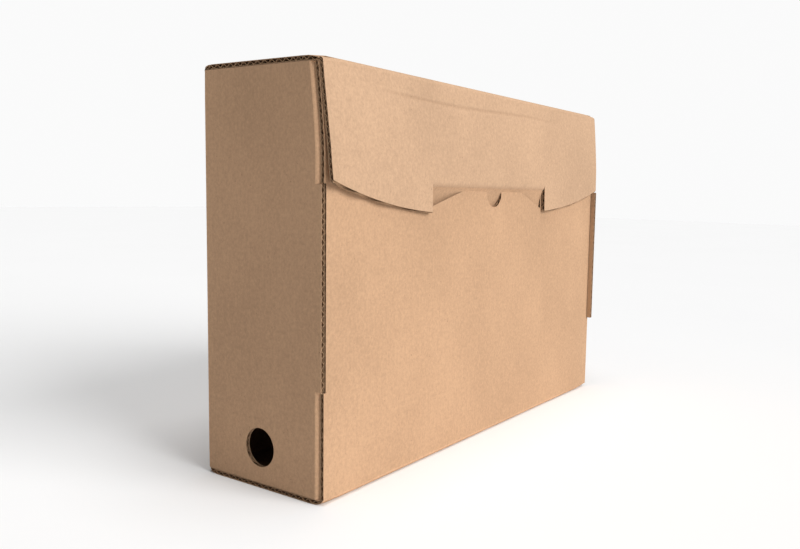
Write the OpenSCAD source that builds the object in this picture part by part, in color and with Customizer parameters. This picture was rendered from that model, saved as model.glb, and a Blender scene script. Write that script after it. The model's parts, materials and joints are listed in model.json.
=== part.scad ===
// Archival transfer box, folded from one die-cut blank of single-wall corrugated board.
// Millimetres, +Z up. Origin: middle of the underside of the bottom panel.
// The long front faces -Y, the end with the finger hole faces -X.

/* [Box] */
// Outside length, over both end panels
box_l = 387; // [360:1:420]
// Outside depth, from the front panel to the back panel
box_d = 108; // [90:1:140]
// Outside height, over the lid panel
box_h = 275; // [270:1:290]

/* [Board] */
// Thickness of the corrugated board
board_t = 3; // [2.6:0.1:3.2]
// Inner radius of a folded crease
fold_inner_r = 0.4; // [0.2:0.1:0.8]
// Gap between panels that move past each other, or that only meet edge to edge
gap = 0.3; // [0.3:0.05:0.5]

/* [Finger hole] */
// Radius of the finger hole in the left end
hole_r = 13; // [10:0.5:16]
// Height of the finger hole's centre
hole_z = 27; // [20:1:40]

/* [End locks] */
// Height at which the locking tabs start
tab_low = 72; // [60:1:80]
// Height at which the locking tabs stop
tab_high = 199; // [190:1:199]
// How far the left locking tab stops behind the front face
left_tab_back = 1.2; // [0:0.1:3]
// How far the right locking tab stands out of the front face
right_tab_proud = 4.3; // [0:0.1:5]
// Depth of the notches in the front panel's side edges
notch_deep = 3.6; // [3.5:0.1:8]
// How far the front panel's side edges stop inside the ends
front_inset = 0.5; // [0:0.1:1]

/* [Tuck flaps] */
// Length of each tuck flap behind the front panel
tuck_l = 62; // [40:1:80]
// How much a tuck flap narrows towards its free edge, on each side
tuck_taper = 6; // [2:1:10]

/* [Lid flap] */
// Height of the flap's two outer corners
flap_corner_z = 200; // [200:1:210]
// Height of the lowest points of the flap, beside the tongue
lobe_z = 181; // [176:1:185]
// Radius of the curved lower edge of each half of the flap
lobe_r = 440; // [400:10:700]
// How far the flap's ends stop inside the ends of the box
flap_inset = 1.5; // [0.5:0.5:3]
// Sideways place of the flap's tongue from the middle of the box
tongue_shift = -1.5; // [-2:0.5:2]
// Angle at which the flap stands away from the front panel
flap_flare = 0.8; // [0.4:0.1:1.5]
// Angle by which the left corner of the flap springs outwards
corner_spring = 4; // [0:0.5:5]
// How far along the flap's lower edge the sprung corner reaches
corner_reach = 80; // [60:1:90]

/* [Tongue] */
// Width of the tongue
tongue_w = 168; // [150:1:168]
// Length of the tongue from its crease
tongue_l = 30; // [20:1:30]
// Height of the tongue's crease
tongue_z = 202; // [202:0.5:203]
// Slope of the tongue below level, as it goes into the slot
tongue_tilt = 35; // [34:0.5:36]
// Radius of the tongue's two free corners
tongue_corner_r = 5; // [4:1:10]

/* [Slot] */
// Width of the slot's flat crown
slot_crown_w = 90; // [80:1:100]
// Width of the whole slot
slot_w = 184; // [180:1:190]
// Height of the slot's lower edge at its crown
slot_z = 195.9; // [195.5:0.1:195.9]
// How far the slot's lower edge falls towards its ends
slot_fall = 13.5; // [10:0.5:14]
// Opening of the slot above its crown
slot_open = 7.5; // [7.3:0.1:8.5]
// Sideways place of the slot from the middle of the box
slot_shift = 3; // [0:0.5:3]
// Radius of the half-round thumb notch under the slot
thumb_r = 11; // [8:0.5:13]

/* [Hidden] */

$fn = 64;
big = 1000;
// A fold's outer radius, and the height of the lower edge of what stands inside on the bottom panel
fold_r = fold_inner_r + board_t;
stand_z = board_t + gap;
// A moving crease is a round bead of crushed board, as thick as the board
bead_r = board_t / 2;
bead_gap = bead_r + gap;
bead_z = box_h - bead_r;
lid_pin_y = box_d - bead_r;
flap_pin_y = -gap - bead_r;
wall_top = box_h - board_t;
end_top = wall_top - gap;
// Tuck flaps lie behind the front panel, a hair away from it
tuck_y = board_t + 0.1;
tuck_fold_y = tuck_y + fold_r;
slit = 0.5;
// Flap outline, measured down from the flap's bead
flap_mid = box_l / 2 + tongue_shift;
step_half = tongue_w / 2 + 1;
crease_s = bead_z - tongue_z;
corner_s = bead_z - flap_corner_z;
lobe_s = bead_z - lobe_z;
slot_mid = box_l / 2 + slot_shift;

liner = [0.83, 0.68, 0.50];
inside = [0.72, 0.58, 0.43];
crushed = [0.62, 0.48, 0.34];

// Centre of the circle of radius r through p and q that lies above them
function arc_centre(p, q, r) =
    let (d = q - p, half = norm(d) / 2, rise = sqrt(r * r - half * half))
    (p + q) / 2 + rise * [-d.y, d.x] / norm(d);

// Moves from the box's front left bottom corner to the middle of its underside
module place() {
    translate([-box_l / 2, -box_d / 2, 0]) children();
}

// Mirrors its children to the other end of the box
module at_right() {
    translate([box_l, 0, 0]) mirror([1, 0, 0]) children();
}

// An upright board parallel to the front, from a drawing in X and Z
module upright(y) {
    translate([0, y + board_t, 0]) rotate([90, 0, 0]) linear_extrude(board_t) children();
}

// A quarter of a ring, around the origin, in the lower left quadrant
module fold_profile() {
    difference() {
        intersection() {
            circle(r = fold_r);
            translate([-fold_r, -fold_r]) square(fold_r);
        }
        circle(r = fold_inner_r);
    }
}

// A vertical fold at the left end: turn 0 for the front corner, -90 for the back corner
module vertical_fold(y, turn, low, high) {
    translate([fold_r, y, low]) rotate([0, 0, turn]) linear_extrude(high - low) fold_profile();
}

// A fold along the bottom: turn 0 for the front edge, 90 for the back edge
module bottom_fold(y, turn, from, to) {
    translate([from, y, fold_r]) rotate([turn, 0, 0]) rotate([90, 0, 90])
        linear_extrude(to - from) fold_profile();
}

// A straight bead along X
module bead(x, y, z, length) {
    translate([x, y, z]) rotate([0, 90, 0]) cylinder(r = bead_r, h = length);
}

module end_board(tab_y) {
    translate([0, tuck_fold_y, stand_z])
        cube([board_t, box_d - fold_r - tuck_fold_y, end_top - stand_z]);
    translate([0, tab_y, tab_low])
        cube([board_t, tuck_fold_y - tab_y + 1, tab_high - tab_low]);
}

module tuck_board(low, high) {
    upright(tuck_y) polygon([
        [fold_r, low], [fold_r + tuck_l, low + tuck_taper],
        [fold_r + tuck_l, high - tuck_taper], [fold_r, high]
    ]);
}

// The slot's cross-section, square to the way the tongue slides, with its crown at y = 0
module slot_section() {
    k = cos(tongue_tilt);
    polygon([
        [-slot_w / 2, slot_open * k], [-slot_w / 2, -slot_fall * k], [-slot_crown_w / 2, 0],
        [slot_crown_w / 2, 0], [slot_w / 2, -slot_fall * k], [slot_w / 2, slot_open * k]
    ]);
}

// A board that hangs from the flap's bead, from a drawing in X and minus the distance down
module hanging() {
    translate([0, flap_pin_y, bead_z]) rotate([90 - flap_flare, 0, 0]) children();
}

module flap_half(from, to, corner, lowest) {
    intersection() {
        translate([from, -lobe_s]) square([to - from, lobe_s - bead_gap]);
        translate(arc_centre(corner, lowest, lobe_r)) circle(r = lobe_r, $fn = 360);
    }
}

module flap_outline() {
    right_x = box_l - flap_inset;
    flap_half(flap_inset, flap_mid - step_half,
        [flap_inset, -corner_s], [flap_mid - step_half, -lobe_s]);
    flap_half(flap_mid + step_half, right_x,
        [flap_mid + step_half, -lobe_s], [right_x, -corner_s]);
    translate([flap_mid - step_half - 1, -crease_s + bead_r])
        square([2 * step_half + 2, crease_s - bead_r - bead_gap]);
}

// The part of the flap left of the line along which its corner springs outwards
module corner_side() {
    polygon([
        [flap_inset, -bead_gap], [corner_reach, -lobe_s], [corner_reach, -big],
        [-big, -big], [-big, -bead_gap]
    ]);
}

module back_panel() {
    color(liner) place() translate([fold_r, box_d - board_t, fold_r])
        cube([box_l - 2 * fold_r, board_t, wall_top - fold_r]);
}

module bottom_panel() {
    color(inside) place() translate([0, fold_r, 0])
        cube([box_l, box_d - 2 * fold_r, board_t]);
}

module front_panel() {
    color(liner) place() difference() {
        translate([front_inset, 0, fold_r])
            cube([box_l - 2 * front_inset, board_t, end_top - fold_r]);
        for (x = [-big + notch_deep, box_l - notch_deep])
            translate([x, -1, tab_low - slit]) cube([big, board_t + 2, tab_high - tab_low + 2 * slit]);
        translate([slot_mid, 0, slot_z]) rotate([90 - tongue_tilt, 0, 0])
            linear_extrude(40, center = true) slot_section();
        translate([slot_mid, -1, slot_z]) rotate([-90, 0, 0])
            cylinder(r = thumb_r, h = board_t + 2);
    }
}

module left_end_panel() {
    color(liner) place() difference() {
        end_board(left_tab_back);
        translate([-1, (tuck_fold_y + box_d - fold_r) / 2, hole_z]) rotate([0, 90, 0])
            cylinder(r = hole_r, h = board_t + 2);
    }
}

module right_end_panel() {
    color(liner) place() at_right() end_board(-right_tab_proud);
}

module left_upper_tuck_flap() {
    color(inside) place() tuck_board(tab_high + slit, end_top);
}

module left_lower_tuck_flap() {
    color(inside) place() tuck_board(stand_z, tab_low - slit);
}

module right_upper_tuck_flap() {
    color(inside) place() at_right() tuck_board(tab_high + slit, end_top);
}

module right_lower_tuck_flap() {
    color(inside) place() at_right() tuck_board(stand_z, tab_low - slit);
}

module left_upper_tuck_crease() {
    color(crushed) place() vertical_fold(tuck_fold_y, 0, tab_high + slit, end_top);
}

module left_lower_tuck_crease() {
    color(crushed) place() vertical_fold(tuck_fold_y, 0, stand_z, tab_low - slit);
}

module right_upper_tuck_crease() {
    color(crushed) place() at_right() vertical_fold(tuck_fold_y, 0, tab_high + slit, end_top);
}

module right_lower_tuck_crease() {
    color(crushed) place() at_right() vertical_fold(tuck_fold_y, 0, stand_z, tab_low - slit);
}

module back_left_crease() {
    color(crushed) place() vertical_fold(box_d - fold_r, -90, stand_z, end_top);
}

module back_right_crease() {
    color(crushed) place() at_right() vertical_fold(box_d - fold_r, -90, stand_z, end_top);
}

module back_bottom_crease() {
    color(crushed) place() bottom_fold(box_d - fold_r, 90, fold_r, box_l - fold_r);
}

module bottom_front_crease() {
    color(crushed) place() bottom_fold(fold_r, 0, front_inset, box_l - front_inset);
}

module lid_crease() {
    color(crushed) place() bead(fold_r, lid_pin_y, bead_z, box_l - 2 * fold_r);
}

module lid_panel() {
    color(liner) place() translate([0, flap_pin_y + bead_r, wall_top])
        cube([box_l, lid_pin_y - bead_gap - flap_pin_y - bead_r, board_t]);
}

module flap_crease() {
    color(crushed) place() bead(flap_inset, flap_pin_y, bead_z, box_l - 2 * flap_inset);
}

module lid_flap() {
    bend_turn = atan2(bead_gap - lobe_s, corner_reach - flap_inset);
    color(liner) place() hanging() {
        translate([0, 0, -bead_r]) linear_extrude(board_t) difference() {
            flap_outline();
            corner_side();
        }
        translate([flap_inset, -bead_gap, -bead_r]) rotate([0, 0, bend_turn])
            rotate([-corner_spring, 0, 0]) rotate([0, 0, -bend_turn])
            translate([-flap_inset, bead_gap, 0]) linear_extrude(board_t) intersection() {
                flap_outline();
                corner_side();
            }
    }
}

module tongue_crease() {
    color(crushed) place() hanging()
        bead(flap_mid - tongue_w / 2, -crease_s, 0, tongue_w);
}

module tongue() {
    color(inside) place() hanging() translate([flap_mid, -crease_s, 0])
        rotate([90 - tongue_tilt + flap_flare, 0, 0]) translate([0, 0, -bead_r])
        linear_extrude(board_t) {
            translate([-tongue_w / 2, tongue_corner_r - tongue_l])
                square([tongue_w, tongue_l - tongue_corner_r - bead_gap]);
            translate([tongue_corner_r - tongue_w / 2, -tongue_l])
                square([tongue_w - 2 * tongue_corner_r, tongue_l - bead_gap]);
            for (side = [-1, 1])
                translate([side * (tongue_w / 2 - tongue_corner_r), tongue_corner_r - tongue_l])
                    circle(r = tongue_corner_r);
        }
}

back_panel();
bottom_panel();
front_panel();
left_end_panel();
right_end_panel();
left_upper_tuck_flap();
left_lower_tuck_flap();
right_upper_tuck_flap();
right_lower_tuck_flap();
left_upper_tuck_crease();
left_lower_tuck_crease();
right_upper_tuck_crease();
right_lower_tuck_crease();
back_left_crease();
back_right_crease();
back_bottom_crease();
bottom_front_crease();
lid_crease();
lid_panel();
flap_crease();
lid_flap();
tongue_crease();
tongue();
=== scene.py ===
"""The looks of an upright corrugated archive box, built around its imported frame.

Every board is made as the real one is: two liners glued to a wavy fluting, cut to its outline with a die
while it is flat, and then folded to its place. Lengths are metres, and angles are radians.
"""

import json
import math

import bpy
from mathutils import Matrix, Vector


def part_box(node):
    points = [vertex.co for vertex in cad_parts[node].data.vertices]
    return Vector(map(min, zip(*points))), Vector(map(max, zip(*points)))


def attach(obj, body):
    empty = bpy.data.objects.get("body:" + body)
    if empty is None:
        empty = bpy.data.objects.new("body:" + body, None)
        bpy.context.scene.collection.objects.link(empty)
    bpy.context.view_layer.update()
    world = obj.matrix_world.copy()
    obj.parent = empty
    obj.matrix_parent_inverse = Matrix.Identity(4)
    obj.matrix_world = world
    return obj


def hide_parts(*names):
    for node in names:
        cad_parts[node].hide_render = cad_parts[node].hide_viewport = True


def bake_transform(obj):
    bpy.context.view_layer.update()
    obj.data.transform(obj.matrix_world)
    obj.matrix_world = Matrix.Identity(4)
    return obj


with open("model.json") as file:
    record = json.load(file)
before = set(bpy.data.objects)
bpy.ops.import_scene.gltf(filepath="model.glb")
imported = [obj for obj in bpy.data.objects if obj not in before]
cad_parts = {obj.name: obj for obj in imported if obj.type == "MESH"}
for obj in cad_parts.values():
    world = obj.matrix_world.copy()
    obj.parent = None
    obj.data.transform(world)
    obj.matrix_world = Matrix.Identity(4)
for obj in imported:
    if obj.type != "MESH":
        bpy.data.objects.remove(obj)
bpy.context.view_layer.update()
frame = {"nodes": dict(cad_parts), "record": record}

bl_info = {
    "name": "Archive box",
    "version": (1, 0, 0),
    "blender": (4, 5, 0),
    "location": "3D View > Sidebar > Archive box",
    "description": "Builds the boards, creases and finishes of a corrugated archive box",
    "category": "Object",
}

MM = 0.001
UP, BACKWARD = Vector((0, 0, 1)), Vector((0, 1, 0))
QUARTER = math.pi / 2
TOUCH = 0.1 * MM  # points this close to an edge belong to it
SHARP = math.radians(32)  # edges that turn by more than this stay sharp
SAME_PLACE = 1e-6  # points of a node that are closer than this are one point

# ---------------------------------------------------------------- sizes


def box_of(node):
    low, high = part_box(node)
    return Vector(low), Vector(high)


def joint_place(name):
    joints = frame["record"]["behaviour"]["joints"]
    return next(Vector(joint["pos_m"]) for joint in joints if joint["name"] == name)


BOTTOM = box_of("bottom_panel")
FRONT = box_of("front_panel")
BACK = box_of("back_panel")
LID = box_of("lid_panel")
LEFT_END = box_of("left_end_panel")
RIGHT_END = box_of("right_end_panel")
TUCK_FOLD = box_of("left_lower_tuck_crease")
LID_PIN = joint_place("lid_hinge")
FLAP_PIN = joint_place("flap_hinge")
TONGUE_PIN = joint_place("tongue_hinge")

BOARD = BOTTOM[1].z - BOTTOM[0].z
HALF = BOARD / 2
FOLD_R = BOTTOM[0].y - FRONT[0].y
FLAP_GAP = box_of("lid_flap")[1].z  # height at which the flap's board starts


class ArchiveBoardSettings(bpy.types.PropertyGroup):
    """Sizes of the corrugated board and of the flap"""

    liner: bpy.props.FloatProperty(
        name="Liner", description="Thickness of the paper on each side", default=0.35 * MM, unit="LENGTH"
    )
    fluting: bpy.props.FloatProperty(
        name="Fluting", description="Thickness of the wavy paper", default=0.28 * MM, unit="LENGTH"
    )
    pitch: bpy.props.FloatProperty(
        name="Pitch", description="Distance between two flutes", default=6.25 * MM, unit="LENGTH"
    )
    cell: bpy.props.FloatProperty(
        name="Cell", description="Size of the faces that follow a board's bow",
        default=9 * MM, unit="LENGTH",
    )
    flare: bpy.props.FloatProperty(
        name="Flare", description="Angle at which the flap stands away",
        default=math.radians(0.8), unit="ROTATION",
    )
    corner_drop: bpy.props.FloatProperty(
        name="Corner", description="The flap's outer corners below its crease",
        default=73.5 * MM, unit="LENGTH",
    )
    lobe_drop: bpy.props.FloatProperty(
        name="Lobe", description="The flap's lowest points below its crease",
        default=92.5 * MM, unit="LENGTH",
    )
    lobe_radius: bpy.props.FloatProperty(
        name="Lobe radius", description="Radius of the flap's curved edges",
        default=440 * MM, unit="LENGTH",
    )
    spring: bpy.props.FloatProperty(
        name="Spring", description="How far the flap's left corner stands out",
        default=3 * MM, unit="LENGTH",
    )
    spring_reach: bpy.props.FloatProperty(
        name="Spring reach", description="How far along its lower edge the flap curls",
        default=80 * MM, unit="LENGTH",
    )
    tongue_tilt: bpy.props.FloatProperty(
        name="Tongue tilt", description="Slope of the tongue at its crease",
        default=math.radians(45), unit="ROTATION",
    )
    tongue_bend: bpy.props.FloatProperty(
        name="Tongue bend", description="How far the tongue bends down",
        default=math.radians(38), unit="ROTATION",
    )
    tongue_start: bpy.props.FloatProperty(
        name="Tongue start", description="Length of the tongue before its bend",
        default=9 * MM, unit="LENGTH",
    )
    tongue_radius: bpy.props.FloatProperty(
        name="Tongue radius", description="Radius of the tongue's bend", default=5 * MM, unit="LENGTH"
    )
    slot_lift: bpy.props.FloatProperty(
        name="Slot lift", description="How far the slot's lower lip is pushed up",
        default=1.5 * MM, unit="LENGTH",
    )
    pull: bpy.props.FloatProperty(
        name="Pull", description="How far the tongue pulls the flap inwards",
        default=1.2 * MM, unit="LENGTH",
    )
    lean: bpy.props.FloatProperty(
        name="Lean", description="How far the top of the front leans in", default=5.5 * MM, unit="LENGTH"
    )
    crush: bpy.props.FloatProperty(
        name="Crush", description="How far the outer corners are pushed in",
        default=1.4 * MM, unit="LENGTH",
    )
    bow: bpy.props.FloatProperty(
        name="Bow", description="How far a wide board bows in its middle",
        default=0.8 * MM, unit="LENGTH",
    )


class ArchiveFinishSettings(bpy.types.PropertyGroup):
    """Colours of the paper"""

    outside: bpy.props.FloatVectorProperty(
        name="Outside", description="Kraft liner on the outside",
        default=(0.475, 0.292, 0.172), subtype="COLOR",
    )
    flap: bpy.props.FloatVectorProperty(
        name="Flap", description="Kraft liner of the flap, a little paler",
        default=(0.479, 0.308, 0.192), subtype="COLOR",
    )
    inside: bpy.props.FloatVectorProperty(
        name="Inside", description="Liner on the inside", default=(0.50, 0.32, 0.192), subtype="COLOR"
    )
    # the fluting's colour is darker than its paper: painted shade, for the shade inside the flute cavities
    # that the cut edges show
    flutes: bpy.props.FloatVectorProperty(
        name="Flutes", description="Paper of the fluting", default=(0.26, 0.155, 0.085), subtype="COLOR"
    )
    fibre: bpy.props.FloatVectorProperty(
        name="Fibre", description="Dark fibres in the paper",
        default=(0.20, 0.105, 0.05), subtype="COLOR",
    )
    floor: bpy.props.FloatVectorProperty(
        name="Floor", description="Pale floor", default=(0.86, 0.86, 0.86), subtype="COLOR"
    )


def board_settings():
    return bpy.context.scene.archive_board


def finish_settings():
    return bpy.context.scene.archive_finish


# ---------------------------------------------------------------- sides of the folded blank


class Side:
    """A side of the box, seen from outside: its flutes run along x, its height is y, and z points out."""

    def __init__(self, along, up):
        along, up = Vector(along), Vector(up)
        self.turn = Matrix((along, up, along.cross(up))).transposed()
        self.start = Vector((0, 0))  # where the side's own zero lies on the flat blank

    def flat(self, corners):
        """The lowest and highest corner of a box, as the side's own coordinates"""
        turned = [self.turn.transposed() @ corner for corner in corners]
        return tuple(Vector(choose(pair) for pair in zip(*turned)) for choose in (min, max))


SIDES = {
    "front": Side((1, 0, 0), (0, 0, 1)),
    "bottom": Side((1, 0, 0), (0, -1, 0)),
    "back": Side((1, 0, 0), (0, 0, -1)),
    "lid": Side((1, 0, 0), (0, 1, 0)),
    "left_end": Side((0, 1, 0), (0, 0, -1)),
    "right_end": Side((0, -1, 0), (0, 0, -1)),
    "left_tuck": Side((-1, 0, 0), (0, 0, -1)),
    "right_tuck": Side((-1, 0, 0), (0, 0, -1)),
    "flap": Side((1, 0, 0), (0, 0, 1)),
    "tongue": Side((1, 0, 0), (0, 0, 1)),
}


def unfold():
    """Works out where each side lies on the flat blank, so that the paper runs on over every fold"""
    fold, hinge = QUARTER * FOLD_R, QUARTER * BOARD
    start = {name: side.start for name, side in SIDES.items()}
    start["bottom"].y = FRONT[0].z - fold + BOTTOM[0].y
    start["back"].y = start["bottom"].y - BOTTOM[1].y - fold + BACK[0].z
    start["lid"].y = start["back"].y - BACK[1].z - hinge - LID[1].y
    start["flap"].y = start["lid"].y + LID[0].y - hinge + FLAP_PIN.z - BACK[1].z
    start["tongue"].y = start["flap"].y - (FLAP_PIN.z - TONGUE_PIN.z)
    for name, sign, end in (("left", -1, LEFT_END), ("right", 1, RIGHT_END)):
        start[name + "_end"].x = sign * (BACK[1].x + fold + end[1].y)
        start[name + "_end"].y = start[name + "_tuck"].y = start["back"].y
        start[name + "_tuck"].x = start[name + "_end"].x + sign * (fold + BACK[1].x - TUCK_FOLD[1].y)


unfold()

# ---------------------------------------------------------------- hand tools


def deselect():
    if bpy.context.object and bpy.context.object.mode != "OBJECT":
        bpy.ops.object.mode_set(mode="OBJECT")
    bpy.ops.object.select_all(action="DESELECT")


def pick(piece):
    deselect()
    piece.select_set(True)
    bpy.context.view_layer.objects.active = piece


def set_down(piece):
    """Puts a piece's place, turn and size into its mesh"""
    pick(piece)
    bpy.ops.object.transform_apply(location=True, rotation=True, scale=True)
    return piece


def modify(piece, kind, **settings):
    """Adds a modifier and applies it"""
    pick(piece)
    modifier = piece.modifiers.new(kind.lower(), kind)
    for name, value in settings.items():
        setattr(modifier, name, value)
    bpy.ops.object.modifier_apply(modifier=modifier.name)
    return piece


def join(pieces):
    deselect()
    for piece in pieces:
        piece.select_set(True)
    bpy.context.view_layer.objects.active = pieces[0]
    bpy.ops.object.join()
    return pieces[0]


def edit(piece, *steps):
    """Runs edit mode operators on the whole of a piece; a step is an operator and its settings"""
    pick(piece)
    bpy.ops.object.mode_set(mode="EDIT")
    bpy.ops.mesh.select_all(action="SELECT")
    for operator, settings in steps:
        operator(**settings)
    bpy.ops.object.mode_set(mode="OBJECT")
    return piece


def cut(plies, tool, operation="DIFFERENCE"):
    """Cuts every ply with one tool, which is then thrown away"""
    for ply in plies:
        modify(ply, "BOOLEAN", operation=operation, object=tool, solver="EXACT", material_mode="TRANSFER")
    bpy.data.objects.remove(tool)
    return plies


def smoothstep(value):
    value = min(1.0, max(0.0, value))
    return value * value * (3 - 2 * value)


def reshape(piece, change):
    """Moves every vertex of a piece to where change puts it"""
    for vertex in piece.data.vertices:
        vertex.co = change(vertex.co)
    piece.data.update()
    return piece


def lay_on_blank(piece, place):
    """Gives a piece the coordinates that its paper has on the flat blank"""
    layer = piece.data.uv_layers.active or piece.data.uv_layers.new(name="blank")
    layer.name = "blank"
    vertices = piece.data.vertices
    for loop in piece.data.loops:
        layer.data[loop.index].uv = place(vertices[loop.vertex_index].co)
    return piece


def hump(value):
    """Rises from 0 at 0 to 1 in the middle, and falls back to 0 at 1"""
    return math.sin(math.pi * min(1.0, max(0.0, value)))


# Where the box has settled: FROM and REACH are shares of its height, and for the ends of half its length
LEAN_FROM, LEAN_REACH = 0.8, 0.2
LEAN_GROWTH = 1.25  # power at which the lean grows towards the top
LEAN_LOSS = 0.37  # how much less the right end leans than the left
END_FROM, END_REACH = 0.93, 0.07
LID_FROM, LID_REACH = 0.96, 0.04
FRONT_BOW, LID_BOW = 0.6, 0.5  # how much of the bow the front and the lid have
CRUSH_REACH = 1.6 * BOARD  # how high a crushed corner is
CRUSH_ASIDE = 0.7  # how much of the crush pushes a corner sideways

# Where the tongue pulls at the flap: a start, and the length over which the pull sets in or fades
PULL_SKIN, PULL_DEPTH = 1 * MM, 2.5 * MM
PULL_HALF, PULL_FADE = 100 * MM, 75 * MM
PULL_HEIGHT, PULL_RISE = 212 * MM, 45 * MM


def settle(point):
    """How the fluting's spring and folding by hand leave the boards a little out of true"""
    board = board_settings()
    across = (point.x - BOTTOM[0].x) / (BOTTOM[1].x - BOTTOM[0].x)
    height = point.z / LID[1].z
    middle, rise = hump(across), hump(height)
    depth = hump((point.y - FRONT[0].y) / (BACK[1].y - FRONT[0].y))
    quarter = 0.5 * BOTTOM[1].y
    to_front = smoothstep((-point.y - quarter) / quarter)
    to_back = smoothstep((point.y - quarter) / quarter)
    top = max(0, height - LEAN_FROM) / LEAN_REACH
    moved = point.copy()
    moved.y += to_front * board.lean * top ** LEAN_GROWTH * (1 - LEAN_LOSS * across)
    moved.y -= FRONT_BOW * to_front * board.bow * middle * rise * (1 - smoothstep(top))
    moved.y -= to_back * board.bow * middle * rise
    moved.y += board.pull * pulled(point)
    end = smoothstep((abs(point.x) - END_FROM * BOTTOM[1].x) / (END_REACH * BOTTOM[1].x))
    moved.x -= math.copysign(end * board.bow * depth * rise, point.x)
    moved.z -= smoothstep((height - LID_FROM) / LID_REACH) * LID_BOW * board.bow * middle * depth
    corner = smoothstep((abs(point.x) - BOTTOM[1].x + 2 * BOARD) / (2 * BOARD))
    corner *= smoothstep((abs(point.y) - BOTTOM[1].y + 2 * BOARD) / (3 * BOARD))
    for edge, away in ((LID[1].z, -1), (BOTTOM[0].z, 1)):
        near = smoothstep(1 - abs(point.z - edge) / CRUSH_REACH) * corner
        moved.x -= math.copysign(CRUSH_ASIDE * board.crush * near, point.x)
        moved.z += away * board.crush * near * corner
    return moved


def pulled(point):
    """How much the flap is drawn towards the front board near its tongue, from 0 to 1"""
    outside = smoothstep((FRONT[0].y + PULL_SKIN - point.y) / PULL_DEPTH)
    near_tongue = 1 - smoothstep((abs(point.x) - PULL_HALF) / PULL_FADE)
    low = 1 - smoothstep((point.z - PULL_HEIGHT) / PULL_RISE)
    return outside * near_tongue * low


def finish_piece(piece, name, nodes=(), body=None):
    """Names a piece, smooths it, and tells the frame what it is"""
    pick(piece)
    bpy.ops.object.shade_smooth_by_angle(angle=SHARP)
    piece.name = piece.data.name = name
    if body:
        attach(piece, body)
    if nodes:
        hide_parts(*nodes)
    return piece


# ---------------------------------------------------------------- finishes


class Number:
    """A shader socket that takes part in Python arithmetic"""

    def __init__(self, graph, socket):
        self.graph, self.socket = graph, socket

    def math(self, operation, *others):
        values = {index: value for index, value in enumerate((self, *others))}
        return Number(self.graph, self.graph.add("Math", {"operation": operation}, values).outputs[0])

    def __add__(self, other):
        return self.math("ADD", other)

    def __sub__(self, other):
        return self.math("SUBTRACT", other)

    def __rsub__(self, other):
        node = self.graph.add("Math", {"operation": "SUBTRACT"}, {0: other, 1: self})
        return Number(self.graph, node.outputs[0])

    def __mul__(self, other):
        return self.math("MULTIPLY", other)

    __radd__ = __add__
    __rmul__ = __mul__


class Graph:
    """The nodes of one finish"""

    def __init__(self, name):
        self.material = bpy.data.materials.new(name)
        self.material.use_nodes = True
        self.tree = self.material.node_tree
        self.shader = self.tree.nodes["Principled BSDF"]

    def add(self, kind, settings, values):
        """A node of that kind: its settings first, and then the values or links of its sockets"""
        node = self.tree.nodes.new("ShaderNode" + kind)
        for name, value in settings.items():
            setattr(node, name, value)
        for name, value in values.items():
            self.feed(node.inputs[name], value)
        return node

    def feed(self, socket, value):
        if isinstance(value, Number):
            value = value.socket
        if isinstance(value, bpy.types.NodeSocket):
            self.tree.links.new(value, socket)
        else:
            socket.default_value = value

    def noise(self, vector, scale, stretch=(1, 1, 1), detail=3, roughness=0.55):
        """Noise whose grain is stretched by a Mapping node"""
        mapped = self.add("Mapping", {}, {"Vector": vector, "Scale": stretch}).outputs[0]
        values = {"Vector": mapped, "Scale": scale, "Detail": detail, "Roughness": roughness}
        return Number(self, self.add("TexNoise", {}, values).outputs["Fac"])

    def ramp(self, value, low, high):
        """A value from 0 at low to 1 at high"""
        values = {"Value": value, "From Min": low, "From Max": high}
        return Number(self, self.add("MapRange", {"interpolation_type": "SMOOTHSTEP"}, values).outputs[0])

    def mix(self, factor, first, second, blend="MIX"):
        settings = {"data_type": "RGBA", "blend_type": blend}
        node = self.add("Mix", settings, {"Factor": factor})
        colours = [socket for socket in node.inputs if socket.type == "RGBA"]
        self.feed(colours[0], first)
        self.feed(colours[1], second)
        return next(socket for socket in node.outputs if socket.type == "RGBA")

    def bump(self, height, distance, strength=1.0, normal=None):
        values = {"Height": height, "Distance": distance, "Strength": strength}
        if normal:
            values["Normal"] = normal
        return self.add("Bump", {}, values).outputs[0]


def shade(colour, factor):
    return (*(channel * factor for channel in colour), 1)


DARKEST, PALEST = 0.83, 1.15  # how far the pulp's tone strays from the liner's colour
DARK_FLECKS, PALE_FLECKS = 0.55, 0.35  # how strongly the flecks show
FLECK_SHADE, SCUFF_SHADE = 1.3, 1.25  # how much paler than the liner pale flecks and scuffs are
PRESSED_DARK = 0.16  # how strongly the line that was creased by mistake is darkened
FLUTE_SHOW = 0.012 * MM  # how far the flutes show through the liner
STRETCHED_AND_PAINTED_LIGHT, STRETCHED_WEAR = 1.17, 0.3  # paper over a fold is paler, partly because stretched paper is and partly as painted light for the light that a rounded fold catches; the scuffs are wear
PRESSED_DROP = 14 * MM  # from the flap's crease down to that line
PRESSED_HALF = 2.2 * MM  # half the width of that line
PRESSED_WAVER = 1.2 * MM  # how far it wanders up and down
PRESSED_FROM, PRESSED_TO = (-150 * MM, -110 * MM), (20 * MM, 130 * MM)  # where it starts and fades


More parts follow.
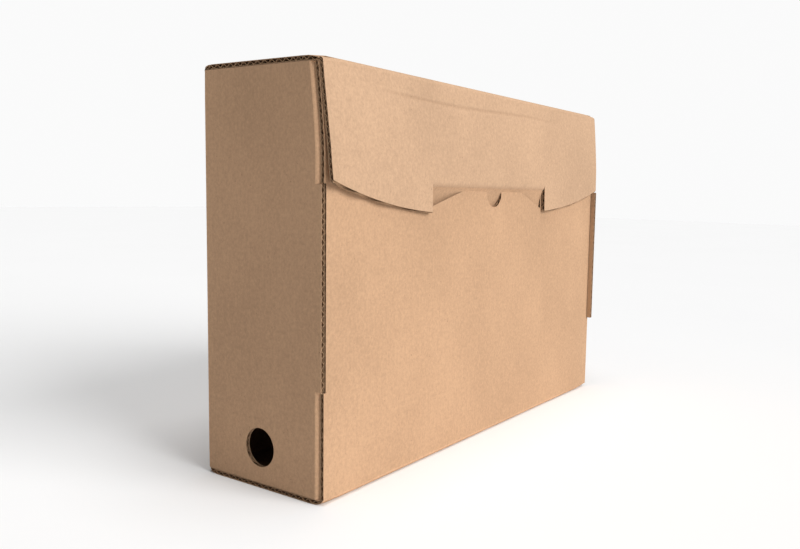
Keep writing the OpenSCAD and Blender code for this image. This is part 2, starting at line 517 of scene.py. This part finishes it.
def kraft(name, colour, wear=0.0, pressed=None):
    """Kraft liner: cloudy pulp, short fibres, dark and pale flecks, and the faintest trace of its flutes.
    pressed is the height on the blank of a line that was creased by mistake"""
    finish = finish_settings()
    graph = Graph(name)
    place = graph.add("UVMap", {"uv_map": "blank"}, {}).outputs[0]
    # each grain has its scale, stretch, detail and roughness
    clouds = graph.noise(place, 14, (1, 0.6, 1), 3, 0.5)
    streaks = graph.noise(place, 300, (1, 0.45, 1), 3, 0.5)
    mottle = graph.noise(place, 560, (1, 0.75, 1), 3, 0.6)
    fibres = graph.noise(place, 2200, (1, 0.4, 1), 3, 0.7)
    dark_flecks = graph.ramp(graph.noise(place, 640, (1, 0.7, 1), 1, 0.4), 0.735, 0.80)
    pale_flecks = graph.ramp(graph.noise(place, 760, (0.8, 1, 1), 1, 0.4), 0.74, 0.81)
    position = graph.add("SeparateXYZ", {}, {"Vector": place})
    up = Number(graph, position.outputs["Y"])
    flutes = (up * (2 * math.pi / board_settings().pitch)).math("SINE")
    tone = clouds * 0.26 + streaks * 0.16 + mottle * 0.34 + fibres * 0.24
    tone = graph.ramp(tone, 0.34, 0.66)
    paper = graph.mix(tone, shade(colour, DARKEST), shade(colour, PALEST))
    paper = graph.mix(dark_flecks * DARK_FLECKS, paper, (*finish.fibre, 1))
    paper = graph.mix(pale_flecks * PALE_FLECKS, paper, shade(colour, FLECK_SHADE))
    if wear:
        scuffs = graph.ramp(graph.noise(place, 320, (1, 1, 1), 4, 0.7), 0.52, 0.70)
        paper = graph.mix(scuffs * wear, paper, shade(colour, SCUFF_SHADE))
    relief = streaks * 0.3 + mottle * 0.4 + fibres * 0.3
    normal = graph.bump(relief, 0.07 * MM, 0.5)
    normal = graph.bump(flutes, FLUTE_SHOW, 0.35, normal)
    if pressed is not None:
        along = Number(graph, position.outputs["X"])
        waver = (along * 26).math("SINE") * PRESSED_WAVER
        line = 1 - graph.ramp((up - pressed - waver).math("ABSOLUTE"), 0.0, PRESSED_HALF)
        faded = graph.ramp(along, *PRESSED_FROM) * (1 - graph.ramp(along, *PRESSED_TO))
        line = line * faded
        paper = graph.mix(line * PRESSED_DARK, paper, (*finish.fibre, 1))
        normal = graph.bump(1 - line, 0.5 * MM, 0.8, normal)
    graph.feed(graph.shader.inputs["Base Color"], paper)
    graph.feed(graph.shader.inputs["Roughness"], 0.93 - 0.16 * tone)
    graph.feed(graph.shader.inputs["Normal"], normal)
    graph.shader.inputs["Specular IOR Level"].default_value = 0.28
    return graph.material


def raw_paper(name, colour):
    """Rough paper of the fluting and of cut edges"""
    graph = Graph(name)
    place = graph.add("TexCoord", {}, {}).outputs["Object"]
    pulp = graph.noise(place, 900, (1, 1, 1), 4, 0.7)
    clouds = graph.noise(place, 120, (1, 1, 1), 3, 0.6)
    tone = graph.ramp(pulp * 0.6 + clouds * 0.4, 0.35, 0.65)
    pulpy = graph.mix(tone, shade(colour, 0.72), shade(colour, 1.18))
    graph.feed(graph.shader.inputs["Base Color"], pulpy)
    graph.feed(graph.shader.inputs["Roughness"], 0.97 - 0.08 * tone)
    graph.feed(graph.shader.inputs["Normal"], graph.bump(pulp, 0.12 * MM, 0.6))
    graph.shader.inputs["Specular IOR Level"].default_value = 0.2
    return graph.material


def finishes():
    """The finishes, made the first time that they are asked for"""
    if "Kraft outside" not in bpy.data.materials:
        finish = finish_settings()
        kraft("Kraft outside", finish.outside)
        kraft("Kraft inside", finish.inside)
        # the folds' outer paper is paler: partly stretched paper, and partly painted light for the light
        # that the rounded folds catch
        kraft("Kraft crease", shade(finish.outside, STRETCHED_AND_PAINTED_LIGHT)[:3], wear=STRETCHED_WEAR)
        kraft("Kraft flap", finish.flap, pressed=SIDES["flap"].start.y - PRESSED_DROP)
        # both take the flutes colour, which is darkened as painted shade for the flute cavities at cut
        # edges
        raw_paper("Fluting", finish.flutes)
        raw_paper("Cut edge", [0.5 * (a + b) for a, b in zip(finish.inside, finish.flutes)])
    return bpy.data.materials


# ---------------------------------------------------------------- boards

MARGIN = Vector((2 * MM, 2 * MM, 0))  # how much larger than its outline a board is before it is cut
GLUE = 0.02 * MM  # between the fluting and each liner
FLUTE_STEPS = 12  # faces along one flute's curve
DIE_THICKER = 1.05  # how much thicker than its board a die is


def grid(place, size, steps):
    """A flat grid of faces with its middle at place"""
    bpy.ops.mesh.primitive_grid_add(
        x_subdivisions=steps[0], y_subdivisions=steps[1], size=1, location=place
    )
    sheet = bpy.context.object
    sheet.scale = (*size, 1)
    return set_down(sheet)


def liner(low, high, top, material, steps):
    """A liner: a grid of paper with its upper side at top"""
    middle, size = (low + high) / 2, high - low
    paper = grid(Vector((middle.x, middle.y, top)), size.xy, steps)
    paper.data.materials.append(finishes()[material])
    return modify(paper, "SOLIDIFY", thickness=board_settings().liner, offset=-1)


def wave(low, high, middle, steps):
    """The fluting: one flute, repeated across the board"""
    board = board_settings()
    first = math.floor(low.y / board.pitch) * board.pitch
    count = math.ceil((high.y - first) / board.pitch)
    place = Vector(((low.x + high.x) / 2, first + board.pitch / 2, middle))
    flute = grid(place, (high.x - low.x, board.pitch), (steps, FLUTE_STEPS))
    swing = (BOARD - 2 * board.liner - board.fluting) / 2 - GLUE
    for vertex in flute.data.vertices:
        vertex.co.z += swing * math.sin(2 * math.pi * (vertex.co.y - first) / board.pitch)
    flute.data.materials.append(finishes()["Fluting"])
    modify(
        flute, "ARRAY", count=count, use_relative_offset=False, use_constant_offset=True,
        constant_offset_displace=(0, board.pitch, 0), use_merge_vertices=True, merge_threshold=1e-5,
    )
    return modify(flute, "SOLIDIFY", thickness=board.fluting, offset=0)


def corrugated(low, high, side, outside="Kraft outside"):
    """The three plies of a rectangle of board, flat, with its outside at high.z"""
    board = board_settings()
    size = high - low
    steps = [max(2, round(length / board.cell)) for length in (size.x, size.y)]
    plies = [
        liner(low, high, high.z, outside, steps),
        liner(low, high, high.z - BOARD + board.liner, "Kraft inside", steps),
        wave(low, high, high.z - HALF, max(2, steps[0] // 3)),
    ]
    return [lay_on_blank(ply, lambda point: point.xy + side.start) for ply in plies]


def die_of(node, turn):
    """A copy of a node, laid flat by turn, that cuts a board to the node's outline"""
    die = bpy.data.objects.new("die", frame["nodes"][node].data.copy())
    bpy.context.collection.objects.link(die)
    die.data.transform(turn)
    die.data.materials.clear()
    die.data.materials.append(finishes()["Cut edge"])
    return edit(die, (bpy.ops.mesh.remove_doubles, {"threshold": SAME_PLACE}))


def make_board(node, side_name, name, body="carton", trim=None):
    """A flat board, cut with a die, folded to its place and settled; trim is a last change to the die"""
    side = SIDES[side_name]
    low, high = side.flat(box_of(node))
    middle = (low.z + high.z) / 2
    die = die_of(node, side.turn.transposed().to_4x4())
    reshape(die, lambda point: Vector((point.x, point.y, middle + DIE_THICKER * (point.z - middle))))
    if trim:
        reshape(die, trim)
    board = join(cut(corrugated(low - MARGIN, high + MARGIN, side), die, "INTERSECT"))
    board.matrix_world = side.turn.to_4x4()
    reshape(set_down(board), settle)
    return finish_piece(board, name, [node], body)


# ---------------------------------------------------------------- creases

FOLD_STEPS, HINGE_STEPS = 12, 16
FLATTENED = 0.11  # how much of its radius a folded crease loses in its middle
CORE_TOP = 1.1 * MM  # from the outside down to a crease's fluting
FOLDED_CORE, HINGE_CORE = 2.0 * MM, 1.8 * MM  # and down to the fluting's inner side
FOLDED_RIPPLE, HINGE_RIPPLE = 0.15 * MM, 0.12 * MM


def ring(centre, outer, inner, first, last, steps, ripple=0.0, flat=0.0):
    """The outline of a folded ply: an arc at its outer radius, flattened in its middle, and back inside"""
    outline = []
    for radius, order in ((outer, 1), (inner, -1)):
        for step in list(range(steps + 1))[::order]:
            angle = first + (last - first) * step / steps
            length = radius * (1 - flat * math.sin(math.pi * step / steps) ** 2)
            length += ripple * math.sin(3 * math.pi * step / steps * 2)
            outline.append(centre + length * Vector((math.cos(angle), math.sin(angle))))
    return outline


def roll(outline, axis, start, end, material, place):
    """Extrudes an outline along x or z; its first coordinate is the next axis, in the order x, y, z"""
    steps = max(2, round((end - start) / (2 * board_settings().cell)))
    bpy.ops.mesh.primitive_circle_add(vertices=len(outline), radius=1, fill_type="NGON")
    ply = bpy.context.object
    for vertex, point in zip(ply.data.vertices, outline):
        vertex.co = (point.x, point.y, start)
    move = {"TRANSFORM_OT_translate": {"value": (0, 0, (end - start) / steps)}}
    extrusions = [(bpy.ops.mesh.extrude_region_move, move)] * steps
    edit(ply, *extrusions)
    edit(ply, (bpy.ops.mesh.normals_make_consistent, {"inside": False}))
    ply.data.materials.append(finishes()[material])
    lay_on_blank(ply, place)
    if axis == "x":
        ply.matrix_world = Matrix(((0, 0, 1), (1, 0, 0), (0, 1, 0))).to_4x4()
        set_down(ply)
    return ply


def folded_crease(node, name, axis, out, turn, place, longer=(0, 0)):
    """A quarter turn of three plies. out gives the two sides that it is rounded towards"""
    board = board_settings()
    low, high = box_of(node)
    pair = ("x", "y") if axis == "z" else ("y", "z")
    centre = Vector(getattr(low if sign > 0 else high, letter) for sign, letter in zip(out, pair))
    first = math.atan2(out[1], 0) if turn == 1 else math.atan2(0, out[0])
    last = math.atan2(0, out[0]) if turn == 1 else math.atan2(out[1], 0)
    if abs(last - first) > math.pi:
        last += math.copysign(2 * math.pi, first - last)
    spans = [
        ("Kraft crease", FOLD_R, FOLD_R - board.liner, 0),
        ("Fluting", FOLD_R - CORE_TOP, FOLD_R - FOLDED_CORE, FOLDED_RIPPLE),
        ("Kraft inside", FOLD_R - BOARD + board.liner, FOLD_R - BOARD, 0),
    ]

    def on_blank(point):
        angle = math.atan2(point.y - centre.y, point.x - centre.x)
        swing = (angle - first + math.pi) % (2 * math.pi) - math.pi
        return place(point.z, abs(swing) * FOLD_R)

    plies = []
    for material, outer, inner, ripple in spans:
        outline = ring(centre, outer, inner, first, last, FOLD_STEPS, ripple, FLATTENED)
        start, end = getattr(low, axis) - longer[0], getattr(high, axis) + longer[1]
        plies.append(roll(outline, axis, start, end, material, on_blank))
    crease = reshape(join(plies), settle)
    return finish_piece(crease, name, [node], "carton")


def lapped(outline, centre, first, last):
    """Lets an outer ply run on a little over the boards on both sides, and stand just proud of them"""
    half = len(outline) // 2
    lap, proud = 0.8 * MM, 0.03 * MM
    start = first, -1, (outline[0], outline[-1])
    end = last, 1, (outline[half - 1], outline[half])
    laps = []
    for angle, away, ends in (start, end):
        out = Vector((math.cos(angle), math.sin(angle)))
        along = Vector((-out.y, out.x)) * math.copysign(away, away * (last - first))
        laps.append([ends[0] + along * lap + out * proud, ends[1] + along * lap + out * proud])
    return [laps[0][0], *outline[:half], laps[1][0], laps[1][1], *outline[half:], laps[0][1]]


def round_off(point):
    """Rounds the ends of the lid's crease to the corner folds below it"""
    past = max(0, point.y - BACK[0].y + 0.4 * MM)
    room = BACK[1].x + math.sqrt(max(0, FOLD_R ** 2 - past ** 2))
    return Vector((min(room, max(-room, point.x)), point.y, point.z))


def moving_crease(node, name, pin, normals, width, on_flat_blank):
    """Three plies around a joint's crease. normals are the outward directions of the boards on each side,
    and on_flat_blank gives where the crease starts on the blank and how long it is there"""
    board = board_settings()
    first, last = (math.atan2(normal.z, normal.y) for normal in normals)
    if abs(last - first) > math.pi:
        last += math.copysign(2 * math.pi, first - last)
    turned = abs(last - first)
    sum_of_normals = Vector((normals[0].y + normals[1].y, normals[0].z + normals[1].z))
    inwards = sum_of_normals / (1 + math.cos(turned))
    outer = HALF * (1 + 1 / math.tan(turned / 2))
    overlap, deeper = 0.3 * MM, 0.03 * MM
    paper = "Kraft crease" if node == "lid_crease" else "Kraft flap"
    plies = (
        ("outer_liner", paper, outer, 0, board.liner, 0),
        ("core", "Fluting", outer, CORE_TOP, HINGE_CORE, HINGE_RIPPLE),
        ("inner_liner", "Kraft inside", outer + overlap, BOARD - board.liner, BOARD + deeper, 0),
    )
    for part, material, radius, top, bottom, ripple in plies:
        centre = Vector((pin.y, pin.z)) + (HALF - radius) * inwards
        outline = ring(centre, radius - top, radius - bottom, first, last, HINGE_STEPS, ripple)
        if part == "outer_liner":
            outline = lapped(outline, centre, first, last)

        def on_blank(point, centre=centre):
            angle = math.atan2(point.y - centre.y, point.x - centre.x)
            swing = abs((angle - first + math.pi) % (2 * math.pi) - math.pi)
            return point.z, on_flat_blank[0] - on_flat_blank[1] * swing / turned

        ply = roll(outline, "x", width[0], width[1], material, on_blank)
        if node == "lid_crease":
            reshape(ply, round_off)
        reshape(ply, settle)
        finish_piece(ply, f"{name}_{part}", [node] if part == "outer_liner" else [])
        inner = radius - bottom
        ends = [centre + inner * Vector((math.cos(angle), math.sin(angle))) for angle in (first, last)]
        points = [settle(Vector((0, end.x, end.y))) for end in ends]
        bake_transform(ply)


# ---------------------------------------------------------------- operators


class ARCHIVE_OT_walls(bpy.types.Operator):
    """Make the front, back and bottom boards"""

    bl_idname = "archive.walls"
    bl_label = "Walls"

    SLOT_REACH = 100 * MM  # the slot lies within this distance of the middle
    SLOT_LOW, SLOT_HIGH = 180 * MM, 206 * MM
    SLOT_RIGHT = 82 * MM  # where the slot ends on the right
    LIP_CROWN, LIP_FLAT, LIP_FALL = 195.95 * MM, 45 * MM, 0.287  # the lip's top, and its slope beyond
    LIP_BAND = 2 * MM  # points up to this far above the lip still belong to it
    THUMB_ASIDE = 4.5 * MM  # from the tongue's middle to the thumb notch
    THUMB_HALF, THUMB_TOP = 10.9 * MM, 195.8 * MM
    LEFT_IN = 0.7 * MM  # how far the left edge is drawn in
    NOTCH_EDGE, NEAR = -189.9 * MM, 0.4 * MM  # the notch for the left tab
    TAB_GAP = 0.05 * MM

    def execute(self, context):
        make_board("back_panel", "back", "back_board")
        make_board("bottom_panel", "bottom", "bottom_board")
        make_board("front_panel", "front", "front_board", trim=self.lift_lip)
        return {"FINISHED"}

    def lift_lip(self, point):
        """Pushes the slot's lower lip up and its right end in, and draws in the board's left edge,
        but leaves the tab's notch in that edge close to the tab"""
        moved = point.copy()
        if abs(point.x) < self.SLOT_REACH and self.SLOT_LOW < point.y < self.SLOT_HIGH:
            centre = 0.5 * sum(corner.x for corner in box_of("tongue_crease")) + self.THUMB_ASIDE
            aside = abs(point.x - centre)
            in_notch = aside < self.THUMB_HALF and point.y < self.THUMB_TOP
            crown = self.LIP_CROWN - self.LIP_FALL * max(0, aside - self.LIP_FLAT)
            if point.y < crown + self.LIP_BAND and not in_notch:
                moved.y += board_settings().slot_lift
            moved.x = min(moved.x, self.SLOT_RIGHT)
        if point.x < FRONT[0].x + TOUCH:
            moved.x += self.LEFT_IN
        if abs(point.x - self.NOTCH_EDGE) < self.NEAR:
            moved.x = LEFT_END[1].x - self.TAB_GAP
        return moved


class ARCHIVE_OT_ends(bpy.types.Operator):
    """Make the two end boards, with the finger hole and the locking tabs"""

    bl_idname = "archive.ends"
    bl_label = "Ends"

    def execute(self, context):
        for hand in ("left", "right"):
            make_board(f"{hand}_end_panel", f"{hand}_end", f"{hand}_end_board")
        return {"FINISHED"}


class ARCHIVE_OT_tucks(bpy.types.Operator):
    """Make the four tuck flaps behind the front board"""

    bl_idname = "archive.tucks"
    bl_label = "Tuck flaps"

    def execute(self, context):
        for hand in ("left", "right"):
            for level in ("upper", "lower"):
                node = f"{hand}_{level}_tuck_flap"
                make_board(node, f"{hand}_tuck", f"{hand}_{level}_tuck_board")
        return {"FINISHED"}


class ARCHIVE_OT_folds(bpy.types.Operator):
    """Make the folds that stay folded, along the bottom and up the corners"""

    bl_idname = "archive.folds"
    bl_label = "Folds"

    SLIT = 0.45 * MM  # what the tab's shoulders leave open beside a fold

    def execute(self, context):
        start = {name: side.start for name, side in SIDES.items()}
        for hand, sign in (("left", -1), ("right", 1)):
            end = start[f"{hand}_end"]

            def beside_back(height, length, sign=sign):
                return sign * (BACK[1].x + length), start["back"].y - height

            def beside_end(height, length, sign=sign, end=end):
                return end.x + sign * (-TUCK_FOLD[1].y + length), end.y - height

            folded_crease(f"back_{hand}_crease", f"back_{hand}_fold", "z", (sign, 1), 1, beside_back)
            for level, longer in (("upper", (self.SLIT, 0)), ("lower", (0, self.SLIT))):
                node = f"{hand}_{level}_tuck_crease"
                folded_crease(node, f"{hand}_{level}_tuck_fold", "z", (sign, -1), 0, beside_end, longer)
        folded_crease(
            "bottom_front_crease", "bottom_front_fold", "x", (-1, -1), 0,
            lambda along, length: (along, FRONT[0].z - length),
        )
        folded_crease(
            "back_bottom_crease", "back_bottom_fold", "x", (1, -1), 1,
            lambda along, length: (along, start["bottom"].y - BOTTOM[1].y - length),
        )
        return {"FINISHED"}


class ARCHIVE_OT_lid(bpy.types.Operator):
    """Make the lid board"""

    bl_idname = "archive.lid"
    bl_label = "Lid"

    def execute(self, context):
        make_board("lid_panel", "lid", "lid_board", "lid")
        return {"FINISHED"}


DRUM_SIDES = 720  # so many that the flap's curved edges look smooth
THROUGH = 2 * BOARD  # height of a block that cuts right through a board


def hang():
    """The turn and place of what hangs from the flap's crease"""
    return Matrix.Translation(FLAP_PIN) @ Matrix.Rotation(QUARTER - board_settings().flare, 4, "X")


def block(low, high):
    bpy.ops.mesh.primitive_cube_add(size=1, location=(low + high) / 2, scale=high - low)
    tool = set_down(bpy.context.object)
    tool.data.materials.append(finishes()["Cut edge"])
    return tool


def arc_centre(first, second, radius):
    """Centre of the circle through two points that lies above them"""
    along = second - first
    rise = math.sqrt(radius * radius - along.length_squared / 4)
    return (first + second) / 2 + rise * Vector((-along.y, along.x)) / along.length


def lobe_trim(corner, lowest, board):
    """What is cut away below one curved half of the flap: a block less a wide drum"""
    centre = arc_centre(*sorted((corner, lowest), key=lambda point: point.x), board.lobe_radius)
    left, right = sorted((corner.x, lowest.x))
    outer = 5 * MM
    left -= outer if corner.x < lowest.x else 0
    right += outer if corner.x > lowest.x else 0
    below, above = lowest.y - 2 * outer, corner.y + outer
    trim = block(Vector((left, below, -THROUGH)), Vector((right, above, THROUGH)))
    bpy.ops.mesh.primitive_cylinder_add(
        vertices=DRUM_SIDES, radius=board.lobe_radius, depth=4 * THROUGH, location=(*centre, 0)
    )
    drum = set_down(bpy.context.object)
    drum.data.materials.append(finishes()["Cut edge"])
    return cut([trim], drum)[0]


class ARCHIVE_OT_flap(bpy.types.Operator):
    """Make the lid's flap, with its two curved lobes and its sprung corner"""

    bl_idname = "archive.flap"
    bl_label = "Flap"

    STEP_GAP = 1 * MM  # between the tongue's crease and the flap's steps
    LEFT_SHY, RIGHT_SHY, STEP_SHY = 1.5 * MM, 0.9 * MM, 0.6 * MM  # how far the outer liner stops short

    def execute(self, context):
        board = board_settings()
        left, right = (corner.x for corner in box_of("lid_flap"))
        tongue = box_of("tongue_crease")
        steps = (tongue[0].x - self.STEP_GAP, tongue[1].x + self.STEP_GAP)
        top = -(FLAP_PIN.z - FLAP_GAP)
        low, high = Vector((left, -board.lobe_drop - MARGIN.y, -HALF)), Vector((right, top, HALF))
        plies = corrugated(low - MARGIN, high + MARGIN, SIDES["flap"], "Kraft flap")
        far = Vector((0.1, 0.1, THROUGH))
        below = low.y - far.y
        cut(plies, block(low - far, Vector((left, high.y + far.y, THROUGH))))
        cut(plies, block(Vector((right, below, -THROUGH)), high + far))
        cut(plies, block(Vector((left - far.x, top, -THROUGH)), high + far))
        middle_low = -(FLAP_PIN.z - TONGUE_PIN.z) + HALF
        cut(plies, block(Vector((steps[0], below, -THROUGH)), Vector((steps[1], middle_low, THROUGH))))
        for corner, lowest, shy in ((left, steps[0], self.LEFT_SHY), (right, steps[1], self.RIGHT_SHY)):
            ends = Vector((corner, -board.corner_drop)), Vector((lowest, -board.lobe_drop))
            cut(plies, lobe_trim(*ends, board))
            raised = ends[0] + Vector((0, shy)), ends[1] + Vector((0, self.STEP_SHY))
            cut(plies[:1], lobe_trim(*raised, board))
        flap = join(plies)
        curl_end = Vector((left + board.spring_reach, -board.lobe_drop))
        curl_start = Vector((left, top))
        along = (curl_end - curl_start).normalized()
        full = abs(along.cross(Vector((left, -board.corner_drop)) - curl_start))

        def curl(point):
            beyond = -along.cross(point.xy - curl_start) / full
            return point + Vector((0, 0, board.spring * max(0, beyond) ** 3))

        reshape(flap, curl)
        flap.matrix_world = hang()
        reshape(set_down(flap), settle)
        finish_piece(flap, "flap_board", ["lid_flap"], "flap")
        return {"FINISHED"}


class ARCHIVE_OT_tongue(bpy.types.Operator):
    """Make the tongue that locks the flap into the front's slot"""

    bl_idname = "archive.tongue"
    bl_label = "Tongue"

    NODE_TILT = math.radians(35)  # slope of the tongue's node, which is flat
    WIDENED = 1.004  # how much wider than its node the tongue is
    PRESSED = 2.2 * MM  # how far its right end is pushed forward, and where that starts and sets in
    PRESS_FROM, PRESS_OVER = 40 * MM, 42 * MM
    PRESS_BELOW, PRESS_DOWN = 200 * MM, 5 * MM

    def execute(self, context):
        board = board_settings()
        turn = hang() @ Matrix.Rotation(QUARTER - board.tongue_tilt + board.flare, 4, "X")
        turn.translation = TONGUE_PIN
        turn.translation.x = 0
        laid = hang() @ Matrix.Rotation(QUARTER - self.NODE_TILT + board.flare, 4, "X")
        laid.translation = turn.translation
        die = die_of("tongue", laid.inverted())
        low = Vector(min(vertex.co[axis] for vertex in die.data.vertices) for axis in range(3))
        high = Vector(max(vertex.co[axis] for vertex in die.data.vertices) for axis in range(3))
        middle = (low.x + high.x) / 2

        def spread(point):
            return Vector((middle + self.WIDENED * (point.x - middle), point.y, DIE_THICKER * point.z))

        reshape(die, spread)
        tongue = join(cut(corrugated(low - MARGIN, high + MARGIN, SIDES["tongue"]), die, "INTERSECT"))

        def bend(point):
            beyond = -point.y - board.tongue_start
            angle = min(board.tongue_bend, max(0, beyond / board.tongue_radius))
            rest = max(0, beyond - board.tongue_bend * board.tongue_radius)
            reach = board.tongue_radius - point.z
            if beyond <= 0:
                return point
            down = board.tongue_start + reach * math.sin(angle) + rest * math.cos(angle)
            out = board.tongue_radius - reach * math.cos(angle) + rest * math.sin(angle)
            return Vector((point.x, -down, out))

        def press(point):
            at_right = smoothstep((point.x - self.PRESS_FROM) / self.PRESS_OVER)
            below = smoothstep((self.PRESS_BELOW - point.z) / self.PRESS_DOWN)
            return point - Vector((0, self.PRESSED * at_right * below, 0))

        reshape(tongue, bend)
        tongue.matrix_world = turn
        reshape(set_down(tongue), press)
        reshape(tongue, settle)
        finish_piece(tongue, "tongue_board", ["tongue"], "tongue")
        return {"FINISHED"}


class ARCHIVE_OT_hinges(bpy.types.Operator):
    """Make the creases at the lid, flap and tongue hinges"""

    bl_idname = "archive.hinges"
    bl_label = "Hinge creases"

    TONGUE_WIDER = 0.8 * MM  # how far the tongue's crease reaches past its node on each side

    def execute(self, context):
        board = board_settings()
        flap_out = Matrix.Rotation(QUARTER - board.flare, 3, "X") @ UP
        tongue_out = Matrix.Rotation(math.pi - board.tongue_tilt, 3, "X") @ UP
        bend = QUARTER * BOARD
        lid_y, tongue_y = SIDES["lid"].start.y, SIDES["tongue"].start.y
        folds = (
            (
                "lid_crease", LID_PIN, (BACKWARD, UP), ("carton", "lid"),
                (lid_y + LID[1].y + bend, bend), FOLD_R,
            ),
            ("flap_crease", FLAP_PIN, (UP, flap_out), ("lid", "flap"), (lid_y + LID[0].y, bend), 0),
            (
                "tongue_crease", TONGUE_PIN, (flap_out, tongue_out), ("flap", "tongue"),
                (tongue_y + HALF, BOARD), self.TONGUE_WIDER,
            ),
        )
        for node, pin, normals, bodies, place, wider in folds:
            low, high = box_of(node)
            moving_crease(node, node, pin, normals, (low.x - wider, high.x + wider), place)
        return {"FINISHED"}


class ARCHIVE_OT_stage(bpy.types.Operator):
    """Make the camera, the lights and the pale floor"""

    bl_idname = "archive.stage"
    bl_label = "Stage"

    LIGHTS = (("Key", (0.05, -1.0, 0.50), 3.05), ("Top", (0.0, -0.12, 1.0), 1.75))
    SPREAD = math.radians(40)  # how wide both lights are, which softens the shadows
    SOFT_STRENGTH, SEEN_WHITE = 0.14, 0.96  # of the light from all round, and of the backdrop as seen
    FLOOR_DROP = 0.15 * MM  # from the box's underside down to the floor

    def execute(self, context):
        scene = context.scene
        scene.view_settings.view_transform = "Standard"
        camera = bpy.data.objects.new("Camera", bpy.data.cameras.new("Camera"))
        scene.collection.objects.link(camera)
        camera.data.lens = 35.15
        camera.data.sensor_width = 36
        camera.data.shift_x = -0.1
        camera.location = (-0.5381, -0.3822, 0.1960)
        camera.rotation_euler = [math.radians(angle) for angle in (84.041, -1.357, -57.704)]
        scene.camera = camera
        for name, towards, strength in self.LIGHTS:
            light = bpy.data.objects.new(name, bpy.data.lights.new(name, "SUN"))
            scene.collection.objects.link(light)
            light.data.angle, light.data.energy = self.SPREAD, strength
            light.rotation_euler = Vector(towards).to_track_quat("Z", "Y").to_euler()
        self.backdrop(scene)
        deselect()
        bpy.ops.mesh.primitive_plane_add(size=12, location=(0, 0, -self.FLOOR_DROP))
        floor = context.object
        floor.name = "Floor"
        floor.data.materials.append(self.floor_finish())
        return {"FINISHED"}

    def backdrop(self, scene):
        """Soft light from all round; the camera sees it white"""
        scene.world = bpy.data.worlds.new("Studio")
        scene.world.use_nodes = True
        nodes, links = scene.world.node_tree.nodes, scene.world.node_tree.links
        soft = nodes["Background"]
        soft.inputs["Strength"].default_value = self.SOFT_STRENGTH
        soft.inputs["Color"].default_value = (1, 1, 1, 1)
        white = nodes.new("ShaderNodeBackground")
        white.inputs["Color"].default_value = (self.SEEN_WHITE, self.SEEN_WHITE, self.SEEN_WHITE, 1)
        pick_one, path = nodes.new("ShaderNodeMixShader"), nodes.new("ShaderNodeLightPath")
        links.new(path.outputs["Is Camera Ray"], pick_one.inputs["Fac"])
        links.new(soft.outputs[0], pick_one.inputs[1])
        links.new(white.outputs[0], pick_one.inputs[2])
        links.new(pick_one.outputs[0], nodes["World Output"].inputs["Surface"])

    def floor_finish(self):
        graph = Graph("Floor")
        place = graph.add("TexCoord", {}, {}).outputs["Object"]
        tone = graph.noise(place, 3, (1, 1, 1), 3, 0.5)
        colour = finish_settings().floor
        cloudy = graph.mix(tone, shade(colour, 0.99), shade(colour, 1.01))
        graph.feed(graph.shader.inputs["Base Color"], cloudy)
        graph.shader.inputs["Roughness"].default_value = 0.9
        graph.shader.inputs["Specular IOR Level"].default_value = 0.1
        return graph.material


OPERATORS = (
    ARCHIVE_OT_walls, ARCHIVE_OT_ends, ARCHIVE_OT_tucks, ARCHIVE_OT_folds, ARCHIVE_OT_lid,
    ARCHIVE_OT_flap, ARCHIVE_OT_tongue, ARCHIVE_OT_hinges, ARCHIVE_OT_stage,
)


class ARCHIVE_PT_panel(bpy.types.Panel):
    """Lists the box's settings and the operators that make it"""

    bl_idname = "ARCHIVE_PT_panel"
    bl_label = "Archive box"
    bl_space_type = "VIEW_3D"
    bl_region_type = "UI"
    bl_category = "Archive box"

    def draw(self, context):
        for settings in (context.scene.archive_board, context.scene.archive_finish):
            for name in settings.__annotations__:
                self.layout.prop(settings, name)
        for operator in OPERATORS:
            self.layout.operator(operator.bl_idname)


CLASSES = (ArchiveBoardSettings, ArchiveFinishSettings, *OPERATORS, ARCHIVE_PT_panel)


def register():
    for kind in CLASSES:
        bpy.utils.register_class(kind)
    bpy.types.Scene.archive_board = bpy.props.PointerProperty(type=ArchiveBoardSettings)
    bpy.types.Scene.archive_finish = bpy.props.PointerProperty(type=ArchiveFinishSettings)


def unregister():
    del bpy.types.Scene.archive_finish
    del bpy.types.Scene.archive_board
    for kind in reversed(CLASSES):
        bpy.utils.unregister_class(kind)


def main():
    register()
    bpy.ops.archive.stage()
    bpy.ops.archive.walls()
    bpy.ops.archive.ends()
    bpy.ops.archive.tucks()
    bpy.ops.archive.folds()
    bpy.ops.archive.lid()
    bpy.ops.archive.flap()
    bpy.ops.archive.tongue()
    bpy.ops.archive.hinges()


if __name__ == "__main__":
    main()
